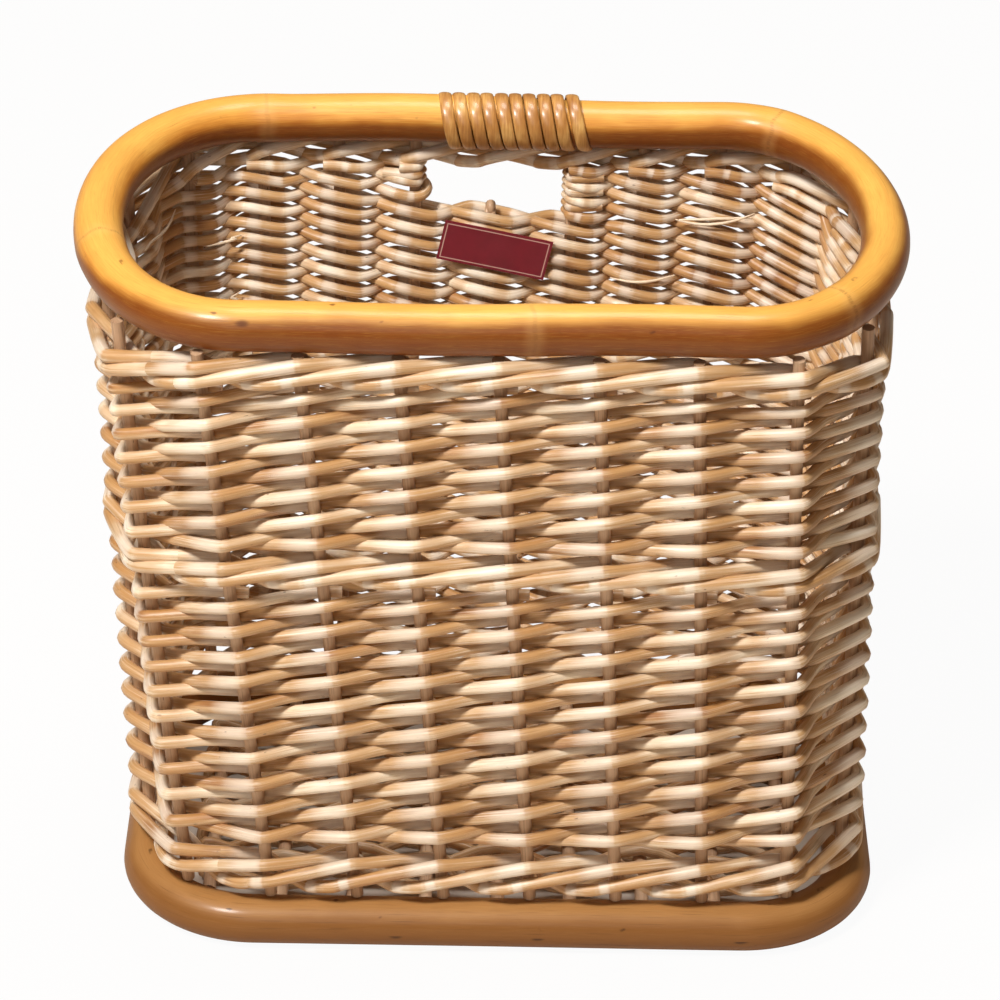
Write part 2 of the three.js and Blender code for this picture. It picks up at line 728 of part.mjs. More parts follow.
const baseReach = (baseStickDiameter / Math.cos(Math.PI / stakeSides) + baseWeaverDiameter) / 2 + clearance;
const baseOff = baseReach / Math.cos(Math.atan2(2 * baseReach, baseStickSpacing));
const baseRows = 2 * Math.floor((innerHalfWidth - baseEdgeGap) / baseRowPitch);
const baseBendReach = baseReach / Math.cos(Math.PI / wrapSteps / 2);
const basePoints = [];
for (let row = 0; row < baseRows; row += 1) {
  const y = (row - (baseRows - 1) / 2) * baseRowPitch;
  const way = row % 2 === 0 ? 1 : -1;
  for (let place = 0; place < baseSticks; place += 1) {
    const stick = way > 0 ? place : baseSticks - 1 - place;
    const over = (stick + row) % 2 === 0 ? 1 : -1;
    const x = footShift + stick * baseStickSpacing - baseHalfRun;
    basePoints.push(new THREE.Vector3(x, y, footMiddle + over * baseOff));
    if (place === baseSticks - 1 && row < baseRows - 1) {
      for (let step = 1; step < wrapSteps; step += 1) {
        const turn = step * Math.PI / wrapSteps;
        basePoints.push(new THREE.Vector3(
          x + way * baseBendReach * Math.sin(turn),
          y + baseRowPitch * step / wrapSteps,
          footMiddle + over * baseBendReach * Math.cos(turn),
        ));
      }
    }
  }
}
addPiece('base_weaver', rod(basePoints, baseWeaverDiameter, baseWeaverDiameter), willow);

// Card label, flat against the rods inside the back wall

const labelHeightMiddle = handHoleFloor - labelBelowHole;
const labelAt = stakePoint(cutStake, labelHeightMiddle);
const labelRodDiameter = (upperButtDiameter + upperTipDiameter) / 2;
const labelRodOff = standOffs(labelRodDiameter)[-1][cutStake] + labelRodDiameter / 2;
const labelOff = labelRodOff + clearance + labelThickness / 2;
const label = addPiece('label_card', new THREE.BoxGeometry(labelWidth, labelThickness, labelHeight), labelCard);
const wallLean = Math.atan2(wallTopHalfWidth - wallFootHalfWidth, wallHead - wallFoot);
label.position.set(labelShift, labelAt.y - labelOff, labelHeightMiddle);
label.rotation.set(-wallLean, labelTurn, 0);

export default basket;
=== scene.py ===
import bisect
import math
import random

import bmesh
import bpy
from mathutils import Matrix, Quaternion, Vector


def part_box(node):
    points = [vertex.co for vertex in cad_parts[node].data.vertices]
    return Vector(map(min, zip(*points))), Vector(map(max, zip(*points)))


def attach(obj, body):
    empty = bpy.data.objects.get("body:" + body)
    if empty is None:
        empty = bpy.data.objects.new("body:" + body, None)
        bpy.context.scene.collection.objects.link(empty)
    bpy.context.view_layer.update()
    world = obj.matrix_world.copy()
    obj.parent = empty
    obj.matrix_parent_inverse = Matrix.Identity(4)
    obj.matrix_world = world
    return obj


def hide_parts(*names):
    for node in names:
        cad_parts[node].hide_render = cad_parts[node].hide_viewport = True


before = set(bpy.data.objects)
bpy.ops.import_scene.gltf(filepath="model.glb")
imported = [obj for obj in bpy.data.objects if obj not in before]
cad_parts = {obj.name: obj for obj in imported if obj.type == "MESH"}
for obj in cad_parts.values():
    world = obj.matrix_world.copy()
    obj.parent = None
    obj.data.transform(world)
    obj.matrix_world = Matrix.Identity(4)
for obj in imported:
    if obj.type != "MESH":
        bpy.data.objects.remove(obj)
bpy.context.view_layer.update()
millimetre = 0.001


# Camera: a long lens from above the front, as the photograph was taken.
# The picture is turned slightly clockwise, so the camera rolls by the same small angle.
camera_height_angle = math.radians(33.993)
camera_side_angle = math.radians(-0.393)
camera_roll = math.radians(1.176)
camera_distance = 1.90059
camera_aim = Vector((0.00673, 0, 0.20517))
camera_back = Vector((
    math.sin(camera_side_angle) * math.cos(camera_height_angle),
    -math.cos(camera_side_angle) * math.cos(camera_height_angle),
    math.sin(camera_height_angle),
))
camera_data = bpy.data.cameras.new("photo_camera")
camera_data.sensor_width = 36
camera_data.lens = 136.31
camera = bpy.data.objects.new("photo_camera", camera_data)
camera.location = camera_aim + camera_back * camera_distance
camera.rotation_mode = "QUATERNION"
camera.rotation_quaternion = (
    (-camera_back).to_track_quat("-Z", "Y") @ Quaternion((0, 0, 1), camera_roll)
)
bpy.context.collection.objects.link(camera)
bpy.context.scene.camera = camera
bpy.context.scene.view_settings.view_transform = "Standard"


# Foot hoop: one thick rattan pole steamed and bent into an oblong ring, its ends scarfed
# together at the back. It is varnished, duller and more worn than the rim.
foot_length = 388 * millimetre
foot_width = 222 * millimetre
foot_pole = 25 * millimetre
foot_corner = (58 * millimetre, 51 * millimetre)
foot_shift = 9 * millimetre
foot_half = ((foot_length - foot_pole) / 2, (foot_width - foot_pole) / 2)
foot_middle = foot_pole / 2


class Outline:
    """An oblong with elliptical corners, walked anticlockwise from the middle of the front."""

    def __init__(self, half, corner):
        corner_steps = 48
        straight = (half[0] - corner[0], half[1] - corner[1])
        self.points = [Vector((0, -half[1], 0))]
        for quarter, (side_x, side_y) in enumerate(((1, -1), (1, 1), (-1, 1), (-1, -1))):
            for step in range(corner_steps + 1):
                turn = (quarter - 1 + step / corner_steps) * math.pi / 2
                point = Vector((
                    side_x * straight[0] + corner[0] * math.cos(turn),
                    side_y * straight[1] + corner[1] * math.sin(turn),
                    0,
                ))
                if (point - self.points[-1]).length > 1e-7:
                    self.points.append(point)
        self.points.append(self.points[0].copy())
        self.reaches = [0.0]
        for before, after in zip(self.points, self.points[1:]):
            self.reaches.append(self.reaches[-1] + (after - before).length)
        self.length = self.reaches[-1]

    def at(self, share):
        reach = (share % 1) * self.length
        high = min(bisect.bisect_right(self.reaches, reach), len(self.reaches) - 1)
        low = high - 1
        part = (reach - self.reaches[low]) / (self.reaches[high] - self.reaches[low])
        return self.points[low].lerp(self.points[high], part)

    def outward(self, share):
        nearby = 0.002
        along = (self.at(share + nearby) - self.at(share - nearby)).normalized()
        return Vector((along.y, -along.x, 0))


class Flow:
    """One output of a node. In a shader, sums and products of flows become Math nodes."""

    def __init__(self, tree, socket):
        self.tree = tree
        self.socket = socket

    def math(self, operation, other=None, turned=False):
        node = self.tree.nodes.new("ShaderNodeMath")
        node.operation = operation
        pair = (other, self) if turned else (self, other)
        for socket, item in zip(node.inputs, pair):
            if item is not None:
                feed(self.tree, socket, item)
        return Flow(self.tree, node.outputs[0])

    def __add__(self, other):
        return self.math("ADD", other)

    def __radd__(self, other):
        return self.math("ADD", other, True)

    def __sub__(self, other):
        return self.math("SUBTRACT", other)

    def __rsub__(self, other):
        return self.math("SUBTRACT", other, True)

    def __mul__(self, other):
        return self.math("MULTIPLY", other)

    def __rmul__(self, other):
        return self.math("MULTIPLY", other, True)

    def __truediv__(self, other):
        return self.math("DIVIDE", other)

    def __pow__(self, other):
        return self.math("POWER", other)


def feed(tree, socket, item):
    if isinstance(item, Flow):
        tree.links.new(item.socket, socket)
    else:
        socket.default_value = item


class Nodes:
    """A node tree, filled one node at a time."""

    def __init__(self, tree):
        self.tree = tree
        tree.nodes.clear()

    def add(self, kind, settings=None, inputs=None, output=0):
        node = self.tree.nodes.new(kind)
        for key, value in (settings or {}).items():
            if key == "stops":
                ramp = node.color_ramp
                while len(ramp.elements) < len(value):
                    ramp.elements.new(0.5)
                for element, (place, colour) in zip(ramp.elements, value):
                    element.position = place
                    element.color = colour
            else:
                setattr(node, key, value)
        for key, item in (inputs or {}).items():
            feed(self.tree, node.inputs[key], item)
        return Flow(self.tree, node.outputs[output] if len(node.outputs) else None)


def build_sweep_tree():
    """Runs a round section along every route, as thick as its points say."""
    tree = bpy.data.node_groups.new("round_sweep", "GeometryNodeTree")
    for name, kind in (
        ("Routes", "Geometry"), ("Sides", "Int"), ("Steps", "Int"), ("Upright", "Bool"),
        ("Finish", "Material"),
    ):
        tree.interface.new_socket(name, in_out="INPUT", socket_type="NodeSocket" + kind)
    tree.interface.new_socket("Poles", in_out="OUTPUT", socket_type="NodeSocketGeometry")
    shape = Nodes(tree)

    def given(name):
        return shape.add("NodeGroupInput", output=name)

    def step(before, kind, settings=None, **inputs):
        """The next node of a chain, fed through its first socket."""
        inputs = {key.replace("_", " "): item for key, item in inputs.items()}
        return shape.add("GeometryNode" + kind, settings, {0: before, **inputs})

    curve = step(given("Routes"), "MeshToCurve")
    curve = step(curve, "CurveSplineType", {"spline_type": "CATMULL_ROM"})
    curve = step(curve, "SetSplineResolution", Resolution=given("Steps"))
    curve = step(curve, "SetCurveNormal", {"mode": "Z_UP"}, Selection=given("Upright"))
    circle = shape.add("GeometryNodeCurvePrimitiveCircle", inputs={
        "Radius": 1, "Resolution": given("Sides"),
    })
    turn = shape.add("GeometryNodeSplineParameter", output="Factor")
    section = step(circle, "StoreNamedAttribute", Name="around", Value=turn)
    thick = shape.add("GeometryNodeInputNamedAttribute", inputs={"Name": "thick"})
    pole = step(curve, "CurveToMesh", Profile_Curve=section, Scale=thick, Fill_Caps=True)
    pole = step(pole, "SetShadeSmooth")
    pole = step(pole, "RealizeInstances")
    pole = step(pole, "SetMaterial", Material=given("Finish"))
    shape.add("NodeGroupOutput", inputs={"Poles": pole})
    return tree


sweep_tree = build_sweep_tree()


def linked(name, data):
    thing = bpy.data.objects.new(name, data)
    bpy.context.collection.objects.link(thing)
    return thing


def plain_mesh(holder, name, tree, **inputs):
    """Runs a tree on an object and keeps its result as a plain mesh."""
    modifier = holder.modifiers.new("shape", "NODES")
    modifier.node_group = tree
    for item in tree.interface.items_tree:
        if item.in_out == "INPUT" and item.name in inputs:
            modifier[item.identifier] = inputs[item.name]
    graph = bpy.context.evaluated_depsgraph_get()
    graph.update()
    mesh = bpy.data.meshes.new_from_object(holder.evaluated_get(graph))
    mesh.name = name
    holder.modifiers.remove(modifier)
    bpy.data.objects.remove(holder)
    return linked(name, mesh)


def sweep_routes(name, routes, finish, sides, steps, upright=True):
    """A route has points, half its thickness at each, a tone, and on woven rods the painted light
    and shade that its bends give each point."""
    points, edges, thick, tone, along, fresh = [], [], [], [], [], []
    for route in routes:
        count = len(route["points"])
        points += route["points"]
        thick += route["thick"]
        tone += [route["tone"]] * count
        fresh += route.get("fresh", [0.5] * count)
        along.append(0.0)
        for place in range(len(points) - count + 1, len(points)):
            edges.append((place - 1, place))
            along.append(along[-1] + (points[place] - points[place - 1]).length)
    mesh = bpy.data.meshes.new(name + "_routes")
    mesh.from_pydata(points, edges, [])
    for key, values in (("thick", thick), ("tone", tone), ("along", along), ("fresh", fresh)):
        mesh.attributes.new(key, "FLOAT", "POINT").data.foreach_set("value", values)
    return plain_mesh(
        linked(mesh.name, mesh), name, sweep_tree,
        Sides=sides, Steps=steps, Upright=upright, Finish=finish,
    )


def tint(*screen):
    """A colour as it looks on a screen, 0 to 255, made linear."""
    shares = [value / 255 for value in screen]
    linear = [x / 12.92 if x <= 0.04045 else ((x + 0.055) / 1.055) ** 2.4 for x in shares]
    return (*linear, 1)


class Finish(Nodes):
    """A material and its nodes."""

    def __init__(self, name):
        self.material = bpy.data.materials.new(name)
        self.material.use_nodes = True
        super().__init__(self.material.node_tree)

    def attribute(self, name):
        return self.add("ShaderNodeAttribute", {"attribute_name": name}, output="Fac")

    def place(self, x, y, z):
        return self.add("ShaderNodeCombineXYZ", inputs={"X": x, "Y": y, "Z": z})

    def part(self, vector, axis):
        return self.add("ShaderNodeSeparateXYZ", inputs={"Vector": vector}, output=axis)

    def noise(self, where, scale, detail, roughness):
        return self.add("ShaderNodeTexNoise", inputs={
            "Vector": where, "Scale": scale, "Detail": detail, "Roughness": roughness,
        })

    def between(self, value, low, high):
        """0 below low, 1 above high, and smooth in between."""
        return self.add("ShaderNodeMapRange", {"interpolation_type": "SMOOTHSTEP"}, {
            "Value": value, "From Min": low, "From Max": high,
        })

    def mix(self, factor, first, second):
        """A Mix node takes colours at inputs 6 and 7 and gives one at output 2."""
        colours = {0: factor, 6: first, 7: second}
        return self.add("ShaderNodeMix", {"data_type": "RGBA"}, colours, output=2)

    def ramp(self, value, stops):
        return self.add("ShaderNodeValToRGB", {"stops": stops}, {"Fac": value})

    def bump(self, height, strength, distance):
        return self.add("ShaderNodeBump", inputs={
            "Height": height, "Strength": strength, "Distance": distance,
        })

    def surface(self, **inputs):
        shader = self.add("ShaderNodeBsdfPrincipled", inputs={
            key.replace("_", " "): item for key, item in inputs.items()
        })
        self.add("ShaderNodeOutputMaterial", inputs={"Surface": shader})
        return self.material


def rattan_finish(name, tones, mark, roughness, wear, rings, marks, back_less_shade):
    """Varnished rattan: long fibres, cloudy colour, joint rings, scratches and small dark marks.
    Its top is made paler as painted light, and its underside darker as painted shade, on the rim
    less at the back and at the left end."""
    girth = 75 * millimetre
    pale, middle, deep, under = tones
    finish = Finish(name)
    along = finish.attribute("along")
    around = finish.attribute("around")
    fibres = finish.noise(finish.place(along * 9, around * 14, 0.3), 6, 4, 0.6)
    fine = finish.noise(finish.place(along * 30, around * 90, 0.7), 3, 3, 0.6)
    clouds = finish.noise(finish.place(along * 14, around * 2, 4.1), 1.2, 3, 0.55)
    upward = finish.part(finish.add("ShaderNodeNewGeometry", output="Normal"), "Z")
    # Painted light: faces turned upward are made paler, towards the pale tone.
    painted_top_light = finish.between(upward + clouds * 0.5, 0.55, 1.15)
    where = finish.add("ShaderNodeTexCoord", output="Object")
    backward = finish.part(where, "Y") - finish.part(where, "X") * 0.45
    backward = finish.between(backward, -0.06, 0.08)
    # Painted shade: faces turned downward are made darker, towards the under tone, less so towards
    # the back and the left end.
    painted_under_shade = finish.between(upward + clouds * 0.4 + backward * back_less_shade, 1.18, 0.7)
    colour = finish.ramp(clouds * 0.6 + fibres * 0.4, [(0.3, deep), (0.5, middle), (0.7, pale)])
    colour = finish.mix(painted_top_light * 0.6, colour, pale)
    colour = finish.mix(painted_under_shade * 0.85, colour, under)
    colour = finish.mix(finish.between(fine, 0.5, 0.75) * 0.22, colour, pale)
    colour = finish.mix(finish.between(fine, 0.5, 0.28) * 0.3, colour, deep)
    spots = finish.noise(finish.place(along * 60, around * 7, 1.9), 1.6, 2, 0.5)
    colour = finish.mix(finish.between(spots, 0.72, 0.8) * 0.7, colour, mark)
    scratches = finish.noise(finish.place(along * 22, around * 160, 8.2), 1.4, 1, 0.5)
    scratches = finish.between(scratches, 0.7, 0.76)
    colour = finish.mix(scratches * wear, colour, mark)
    wobble = finish.noise(finish.place(along * 20, around * 3, 6.6), 2, 2, 0.5) * 0.008
    broken = finish.between(fine, 0.42, 0.62)
    ring_height = 0.0
    for ring, depth in rings:
        away = (along + wobble - ring - 0.004).math("ABSOLUTE")
        colour = finish.mix(finish.between(away, 0.007, 0.0015) * 0.13, colour, tint(224, 178, 112))
        colour = finish.mix(finish.between(away, 0.0016, 0.0004) * broken * depth, colour, mark)
        ring_height = ring_height + finish.between(away, 0.006, 0.0005) * depth
    for place, turn in marks:
        away_along = (along - place) * 0.5
        away_around = (around - turn) * girth
        away = (away_along * away_along + away_around * away_around) ** 0.5 + fine * 0.0016
        colour = finish.mix(finish.between(away, 0.003, 0.0014) * 0.8, colour, mark)
    height = fibres * 0.4 + fine * 0.3 - scratches * 0.4 + ring_height * 0.5
    return finish.surface(
        Base_Color=colour, Roughness=roughness + fine * 0.12, Specular_IOR_Level=0.22,
        Coat_Weight=0.22, Coat_Roughness=0.2, Normal=finish.bump(height, 0.16, 0.0006),
    )


def pole_route(outline, height, shift, radius, knots, seed, lift=0.0):
    """A bent pole is never quite even: it swells at its knots and wanders a little, by lift up
    and by half of it across. It starts and ends at the middle of the back, where its scarf is."""
    shake = random.Random(seed)
    waves = [(shake.uniform(0, 2 * math.pi), shake.uniform(0.1, 0.35)) for _ in range(6)]
    count = 360
    knot_reach = 0.009
    points, thick = [], []
    for step in range(count + 1):
        share = step / count + 0.5
        point = outline.at(share)
        wander = sum(size * math.sin((order + 1) * 2 * math.pi * share + phase)
                     for order, (phase, size) in enumerate(waves))
        sway = sum(size * math.cos((order + 2) * 2 * math.pi * share + 2 * phase)
                   for order, (phase, size) in enumerate(waves))
        swell = sum(math.exp(-(((share - knot + 0.5) % 1 - 0.5) / knot_reach) ** 2)
                    for knot in knots)
        point += outline.outward(share) * lift * sway * millimetre / 2
        rise = lift * wander * millimetre
        points.append(Vector((point.x + shift, point.y, height + rise)))
        thick.append(radius * (1 - 0.012 + 0.014 * wander + 0.024 * swell))
    return {"points": points, "thick": thick, "tone": 0.5}


def along_pole(outline, shares):
    """How far along a pole's route each share of its outline lies."""
    return [((share + 0.5) % 1) * outline.length for share in shares]


foot_outline = Outline(foot_half, foot_corner)
foot_knots = (0.27, 0.42, 0.7)
# Its tones: the first also paints light on the top, and the last is the painted shade of the
# underside, not lessened at the back.
foot_finish = rattan_finish(
    "worn_rattan",
    (tint(182, 134, 80), tint(160, 108, 56), tint(140, 92, 46), tint(136, 88, 42)),
    tint(64, 36, 18), 0.4, 0.55,
    [(place, 0.6) for place in along_pole(foot_outline, foot_knots)],
    [(place, 0.0) for place in along_pole(foot_outline, (0.02, 0.12, 0.95))],
    back_less_shade=0,
)
foot_hoop = sweep_routes(
    "foot_pole",
    [pole_route(foot_outline, foot_middle, foot_shift, foot_pole / 2, foot_knots, 4)],
    foot_finish, sides=32, steps=2,
)
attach(foot_hoop, "root")
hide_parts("foot_hoop")


# Side stakes: straight peeled willow rods that stand between the two poles and carry the weave.
# They are nailed to the poles, and one is cut short under the hand hole.
rim_length = 400 * millimetre
rim_width = 224 * millimetre
rim_pole = 24 * millimetre
basket_height = 378 * millimetre
rim_half = ((rim_length - rim_pole) / 2, (rim_width - rim_pole) / 2)
rim_middle = basket_height - rim_pole / 2
clearance = 0.3 * millimetre
stake_thick = 6.2 * millimetre
wall_foot = foot_pole + clearance
wall_head = basket_height - rim_pole - clearance
wall_ends_in = 6 * millimetre
wall_sides_out = 5 * millimetre
wall_corner = 58 * millimetre
foot_ends_in = 2 * millimetre
foot_sides_in = 5.5 * millimetre
wall_half = (rim_half[0] - wall_ends_in, rim_half[1] + wall_sides_out)
wall_top = Outline(wall_half, (wall_corner, wall_corner))
wall_low = Outline((foot_half[0] - foot_ends_in, foot_half[1] - foot_sides_in), foot_corner)
wall_twist = 13 * millimetre
stakes_front = 7
stakes_back = 9
stakes_end = 4
front_pitch = 46 * millimetre
back_pitch = 38.5 * millimetre
front_run = (stakes_front - 1) / 2 * front_pitch
back_run = (stakes_back - 1) / 2 * back_pitch
front_shift = 4 * millimetre
near_stake_shift = 3 * millimetre
dip_start = 110 * millimetre
end_dip = 18 * millimetre


def wall_rise(height):
    return (height - wall_foot) / (wall_head - wall_foot)


def spread(start, end, count, inset):
    gaps = count - 1 + 2 * inset
    return [start + (end - start) * (place + inset) / gaps for place in range(count)]


front_first = (front_shift - front_run) / wall_top.length
front_last = (front_shift + front_run) / wall_top.length
back_first = 0.5 - back_run / wall_top.length
back_last = 0.5 + back_run / wall_top.length
stake_shares = (
    spread(front_first, front_last, stakes_front, 0)
    + spread(front_last, back_first, stakes_end, 1)
    + spread(back_first, back_last, stakes_back, 0)
    + spread(back_last, 1 + front_first, stakes_end, 1)
)
stake_count = len(stake_shares)
cut_stake = stakes_front + stakes_end + (stakes_back - 1) // 2
near_stake = cut_stake - 1
far_stake = cut_stake + 1
stake_shares[near_stake] -= near_stake_shift / wall_top.length


def stake_share(stake, height):
    """The wall is twisted a little, so a stake's foot stands further round than its head."""
    twist = wall_twist / wall_top.length * (1 - wall_rise(height))
    return stake_shares[stake % stake_count] + twist


def stake_point(stake, height):
    share = stake_share(stake, height)
    low = wall_low.at(share) + Vector((foot_shift, 0, 0))
    point = low.lerp(wall_top.at(share), wall_rise(height))
    return Vector((point.x, point.y, height))


def stake_outward(stake, height):
    share = stake_share(stake, height)
    low = wall_low.outward(share)
    return low.lerp(wall_top.outward(share), wall_rise(height)).normalized()


def dip(stake, height):
    """The weave sinks towards the two ends, where it beats down closer."""
    reach = abs(wall_top.at(stake_shares[stake % stake_count]).x) - dip_start
    share = max(0, reach / (wall_half[0] - dip_start))
    return end_dip * share ** 2 * wall_rise(height)


def willow_finish(name, stops, dark, pale, roughness):
    """Peeled willow: cream and tan lengths on every rod, fine grain and small specks. A woven rod
    is painted creamier before each bend, as painted light, and golden after it, as painted shade."""
    finish = Finish(name)
    tone = finish.attribute("tone")
    along = finish.attribute("along")
    around = finish.attribute("around")
    slow = finish.noise(finish.place(along * 16, around * 1.2, tone * 60), 1.0, 3, 0.6)
    streak = finish.noise(finish.place(along * 18, around * 14, tone * 60 + 3), 1.6, 4, 0.65)
    grain = finish.noise(finish.place(along * 80, around * 60, tone * 60 + 7), 2.0, 2, 0.6)
    colour = finish.ramp(tone * 0.34 + slow * 0.95 - 0.14, stops)
    colour = finish.mix(finish.between(streak, 0.5, 0.7) * 0.55, colour, pale)
    colour = finish.mix(finish.between(streak, 0.47, 0.3) * 0.5, colour, dark)
    # Painted light and shade of the bends: paler where a rod turns towards the lamp before a bend,
    # golden where it turns away after it.
    fresh = finish.attribute("fresh") + streak * 0.3 - 0.15
    colour = finish.mix(finish.between(fresh, 0.55, 0.95) * 0.5, colour, pale)
    colour = finish.mix(finish.between(fresh, 0.45, 0.05) * 0.5, colour, tint(198, 146, 84))
    colour = finish.mix(finish.between(grain, 0.6, 0.8) * 0.2, colour, dark)
    speck = finish.noise(finish.place(along * 150, around * 9, tone * 60 + 11), 1.3, 2, 0.5)
    colour = finish.mix(finish.between(speck, 0.72, 0.79) * 0.75, colour, tint(96, 58, 32))
    normal = finish.bump(streak * 0.6 + grain * 0.4, 0.25, 0.0005)
    return finish.surface(
        Base_Color=colour, Roughness=roughness + streak * 0.15, Coat_Weight=0.3,
        Coat_Roughness=0.34, Normal=normal,
    )


willow_tones = [
    (0.1, tint(136, 84, 42)), (0.32, tint(174, 124, 76)), (0.52, tint(206, 166, 118)),
    (0.72, tint(248, 230, 202)), (0.95, tint(202, 150, 78)),
]
stake_tones = [
    (0.2, tint(166, 126, 94)), (0.5, tint(196, 160, 126)), (0.8, tint(222, 190, 158)),
]
willow = willow_finish("peeled_willow", willow_tones, tint(118, 62, 26), tint(255, 246, 232), 0.4)
stake_dark = tint(126, 84, 54)
stake_willow = willow_finish("stake_willow", stake_tones, stake_dark, tint(220, 186, 152), 0.5)

stake_steps = 8
stake_bow = 0.5 * millimetre
stake_taper = 0.08
cut_stake_head = 312.5 * millimetre
cut_rounding = 1.6 * millimetre
stake_luck = random.Random(11)
for stake in range(stake_count):
    node = "cut_stake" if stake == cut_stake else "side_stake_%02d" % (stake + 1)
    low, high = (corner[2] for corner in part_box(node))
    if stake == cut_stake:
        high = cut_stake_head
    lean = stake_luck.uniform(-stake_bow, stake_bow)
    shares = [step / stake_steps for step in range(stake_steps + 1)]
    heights = [low + (high - low) * share for share in shares]
    thick = [stake_thick / 2 * (1 + stake_taper * (0.5 - share)) for share in shares]
    if stake == cut_stake:
        heights[-2] = high - cut_rounding
        thick[-1] *= 0.6
    points = []
    for share, height in zip(shares, heights):
        sway = math.sin(math.pi * share) * lean
        points.append(stake_point(stake, height) + stake_outward(stake, height) * sway)
    piece = sweep_routes(
        node + "_rod", [{"points": points, "thick": thick, "tone": stake_luck.random()}],
        stake_willow, sides=12, steps=3, upright=False,
    )
    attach(piece, "root")
    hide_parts(node)


# Wales: three rods worked together in front of two stakes and behind the third.
# One closes the foot, one marks the middle, and one locks the weave under the rim.
wale_thick = 6.4 * millimetre
wale_half = wale_thick / 2
foot_wale_rise = 11.5 * millimetre
wale_rise = 7.2 * millimetre
foot_to_wale = 10.5 * millimetre
rim_lap = 1.6 * millimetre
bottom_wale_height = wall_foot + foot_to_wale + wale_half
middle_wale_height = 230.5 * millimetre
top_wale_height = wall_head + rim_lap - wale_half - wale_rise
wale_play = 0.5 * millimetre
wale_luck = random.Random(23)
reach_play = 0.1 * millimetre
thin_rod = 5 * millimetre
thick_rod = 8 * millimetre


def stand_offs(rod_thick):
    """How far a rod's middle stands off each stake, so that its straight runs clear it."""
    height = (wall_foot + wall_head) / 2
    reach = (stake_thick + rod_thick) / 2 + reach_play
    plans = [stake_point(stake, height) for stake in range(stake_count)]
    outwards = [stake_outward(stake, height) for stake in range(stake_count)]
    offs = {1: [reach] * stake_count, -1: [reach] * stake_count}
    for _ in range(6):
        for side in (1, -1):
            for stake in range(stake_count):
                here = plans[stake] + outwards[stake] * side * offs[side][stake]
                nearest = reach * 10
                for step in (-1, 1):
                    following = (stake + step) % stake_count
                    there = plans[following] - outwards[following] * side * offs[-side][following]
                    run = (there - here).normalized()
                    nearest = min(nearest, (plans[stake] - here).cross(run).length)
                offs[side][stake] *= reach / nearest
    return offs


offs_thin = stand_offs(thin_rod)
offs_thick = stand_offs(thick_rod)


def crossing(stake, side, height, rod_thick):
    """A rod's middle where it passes a stake: outside (+1), inside (-1) or in the wall (0)."""
    sunk = height - dip(stake, height)
    place = stake % stake_count
    share = (rod_thick - thin_rod) / (thick_rod - thin_rod)
    off = 0
    if side:
        off = offs_thin[side][place] * (1 - share) + offs_thick[side][place] * share
    return stake_point(stake, sunk) + stake_outward(stake, sunk) * side * off


def rod_route(spots, tone, bend=5.5 * millimetre):
    """Straight runs with a short bend at each crossing, as stiff damp rods take. A spot is a point,
    half the rod's thickness there, and if it bends round a stake there. The wood gets painted light
    just before a bend and painted shade just after it."""
    points, thick, fresh = [], [], []
    for place, (point, half, bends) in enumerate(spots):
        ways = [Vector((0, 0, 0))]
        if bends and 0 < place < len(spots) - 1:
            runs = [spots[place - 1][0] - point, spots[place + 1][0] - point]
            ways = [run.normalized() * min(bend, run.length * 0.4) for run in runs]
        for way in ways:
            points.append(point + way)
            thick.append(half)
        # Painted light just before the bend, painted shade just after it.
        fresh += [1, 0] if len(ways) > 1 else [0.5]
    return {"points": points, "thick": thick, "tone": tone, "fresh": fresh}


def under_grip(stake):
    """1 for stakes under or near the grip binding, which is thicker than the rim, and else 0."""
    middle = 11 * millimetre
    reach = 70 * millimetre
    head = stake_point(stake, wall_head)
    return 1 if head.y > 0 and abs(head.x - middle) < reach else 0


def wale_route(low, rise, phase, luck, grip_dip):
    """Once round the basket, lower under the grip. After each pass inside a rod ducks under the
    other two: how far along the bay, how deep in rises, and on which side of the wall."""
    ducks = ((0.3, 0.5, 0), (0.6, 0.4, 1))
    spots = []
    steps = [(low, 1), (low + rise, 1), (low + rise / 2, -1)]
    for stake in range(stake_count):
        height, side = steps[(stake + phase) % 3]
        height += luck.uniform(-wale_play, wale_play) - grip_dip * under_grip(stake)
        half = wale_half * luck.uniform(0.97, 1.06)
        spots.append((crossing(stake, side, height, wale_thick), half, True))
        if side < 0:
            for run, drop, duck_side in ducks:
                depths = [low - rise * drop - grip_dip * under_grip(stake + at) for at in (0, 1)]
                here = crossing(stake, duck_side, depths[0], wale_thick)
                there = crossing(stake + 1, duck_side, depths[1], wale_thick)
                spots.append((here.lerp(there, run), half, True))
    joint = (spots[-1][0].lerp(spots[0][0], 0.5), wale_half, False)
    return rod_route([joint] + spots + [joint], luck.uniform(0.35, 0.8))


for wale, height, rise, grip_dip in (
    ("bottom_wale", bottom_wale_height, foot_wale_rise, 0),
    ("middle_wale", middle_wale_height, wale_rise, 0),
    ("top_wale", top_wale_height, wale_rise, 2.2 * millimetre),
):
    for phase in range(3):
        node = "%s_rod_%d" % (wale, phase + 1)
        route = wale_route(height, rise, phase, wale_luck, grip_dip)
        piece = sweep_routes(node + "_round", [route], willow, sides=12, steps=4)
        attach(piece, "root")
        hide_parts(node)


# Randing: between the wales one rod starts at every stake and goes in front of one stake and
# behind the next, so all climb together. The back is woven closer with thinner rods, and those
# that meet the hand hole turn back round the stakes at its two sides.
randing_luck = random.Random(37)
foot_wale_to_randing = 8 * millimetre
wale_to_randing = 2.2 * millimetre
randing_to_middle_wale = 7.3 * millimetre
randing_to_top_wale = 3.4 * millimetre
hole_height = 31.5 * millimetre
hole_floor = top_wale_height - wale_half - hole_height
rod_play = 0.4 * millimetre
beaten_share = 0.1


